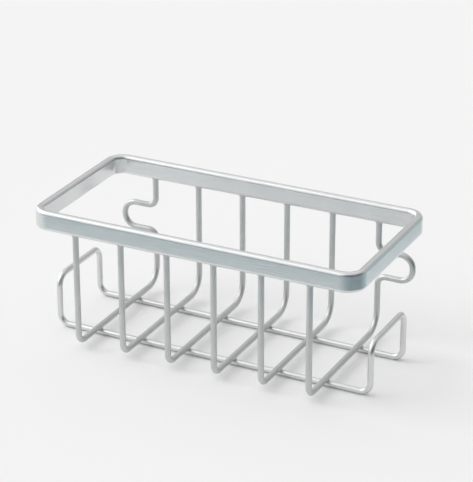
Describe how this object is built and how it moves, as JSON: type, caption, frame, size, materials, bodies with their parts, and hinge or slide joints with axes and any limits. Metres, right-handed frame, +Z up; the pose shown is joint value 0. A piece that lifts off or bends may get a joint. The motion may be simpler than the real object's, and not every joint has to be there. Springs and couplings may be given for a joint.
{
  "type": "sponge holder",
  "caption": "Open wire basket for a kitchen sponge: flat-bar rim on bent cross wires, base runners with upturned end guards, and back loops for suction cups.",
  "frame": {"origin": "under the middle of the rim, on the surface that the runners stand on", "axes": "+X along the length, +Y from the front to the back, where the cup loops are, +Z up"},
  "size_m": [0.175, 0.085, 0.0723],
  "materials": {
    "rim_bar": "satin",
    "wire": "satin",
    "weld": "satin"
  },
  "bodies": {
    "root": {"rim": "rim_bar", "left_end_wire": "wire", "cross_wire_2": "wire", "cross_wire_3": "wire", "cross_wire_4": "wire", "cross_wire_5": "wire", "right_end_wire": "wire", "base_wire": "wire", "rim_welds": "weld", "runner_welds": "weld"}
  },
  "joints": []
}
